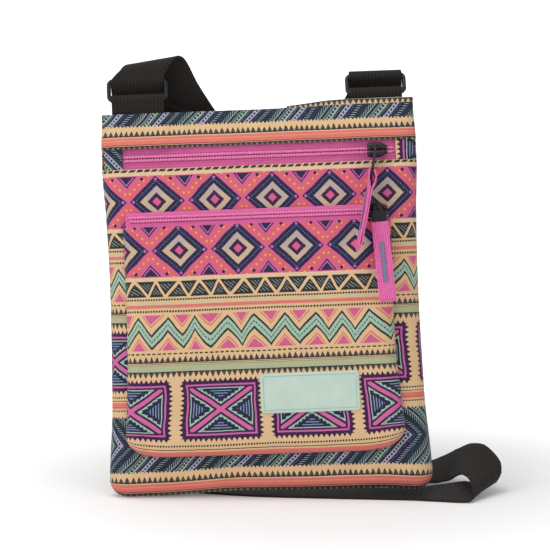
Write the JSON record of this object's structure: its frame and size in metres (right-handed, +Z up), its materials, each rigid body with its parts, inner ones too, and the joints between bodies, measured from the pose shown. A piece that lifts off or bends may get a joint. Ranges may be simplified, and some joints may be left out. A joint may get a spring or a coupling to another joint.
{
  "type": "shoulder bag",
  "caption": "Flat shoulder bag of banded printed cloth with a zipped top, a zipped front pocket and a webbing strap whose length is set by a slide",
  "frame": {"origin": "on the floor, below the middle of the bag's front, on the strap's flat underside", "axes": "+Z up, +X to the bag's right as seen from the front, +Y from the front to the back"},
  "size_m": [0.2858, 0.1108, 0.3122],
  "materials": {
    "printed_cloth": "matte print in bands",
    "zip_tape": "matte woven tape",
    "zip_coil": "satin nylon coil",
    "pull_tape": "ribbed ribbon",
    "bartack": "dense stitches",
    "slider_metal": "black coated casting",
    "black_plastic": "moulded, gloss",
    "webbing": "ribbed black webbing",
    "label_cloth": "woven patch, bare",
    "lining_cloth": "thin dark lining"
  },
  "bodies": {
    "bag": {"back_panel": "printed_cloth", "front_panel": "printed_cloth", "front_top_band": "printed_cloth", "label_patch": "label_cloth", "lining_back": "lining_cloth", "lining_front": "lining_cloth", "main_zip_coil_lower": "zip_coil", "main_zip_coil_upper": "zip_coil", "main_zip_tape_lower": "zip_tape", "main_zip_tape_upper": "zip_tape", "pocket_panel": "printed_cloth", "pocket_zip_coil_lower": "zip_coil", "pocket_zip_coil_upper": "zip_coil", "pocket_zip_tape_lower": "zip_tape", "pocket_zip_tape_upper": "zip_tape", "shoulder_strap": "webbing", "strap_anchor_left": "webbing", "strap_anchor_right": "webbing", "zip_end_tab_left": "printed_cloth", "zip_end_tab_right": "printed_cloth"},
    "main_slider": {"main_zip_slider": "slider_metal"},
    "main_pull": {"main_zip_puller": "black_plastic", "main_pull_tape": "pull_tape", "main_tape_bartack": "bartack"},
    "pocket_slider": {"pocket_zip_slider": "slider_metal"},
    "pocket_pull": {"pocket_zip_puller": "black_plastic", "pocket_pull_tape": "pull_tape", "pocket_tape_bartack": "bartack"},
    "left_ring": {"ring_left": "black_plastic"},
    "right_ring": {"ring_right": "black_plastic"},
    "adjuster": {"strap_adjuster": "black_plastic"}
  },
  "joints": [
    {"name": "main_zip_slide", "type": "slide", "parent": "bag", "child": "main_slider", "axis": [0.9993, 0.0053, 0.038], "range_m": [-0.17, 0]},
    {"name": "main_pull_swing", "type": "hinge", "parent": "main_slider", "child": "main_pull", "pos_m": [0.07717, 0.02189, 0.24962], "axis": [-0.9993, -0.0053, -0.038], "range_deg": [0, 140]},
    {"name": "pocket_zip_slide", "type": "slide", "parent": "bag", "child": "pocket_slider", "axis": [0.9993, 0.0053, 0.038], "range_m": [-0.168, 0], "deforming": ["main_pull_tape", "main_tape_bartack"]},
    {"name": "pocket_pull_swing", "type": "hinge", "parent": "pocket_slider", "child": "pocket_pull", "pos_m": [0.07838, 0.00377, 0.2097], "axis": [-0.9993, -0.0053, -0.038], "range_deg": [0, 100]},
    {"name": "left_ring_swing", "type": "hinge", "parent": "bag", "child": "left_ring", "pos_m": [-0.09412, 0.03913, 0.28295], "axis": [-0.9993, -0.0053, -0.038], "range_deg": [-80, 60], "deforming": ["shoulder_strap"]},
    {"name": "right_ring_swing", "type": "hinge", "parent": "bag", "child": "right_ring", "pos_m": [0.0778, 0.03989, 0.2883], "axis": [-0.9993, -0.0053, -0.038], "range_deg": [-96, 44], "deforming": ["shoulder_strap"]},
    {"name": "adjuster_slide", "type": "slide", "parent": "bag", "child": "adjuster", "axis": [-0.5426, -0.1005, 0.834], "range_m": [-0.1, 0.04], "deforming": ["shoulder_strap"]}
  ]
}
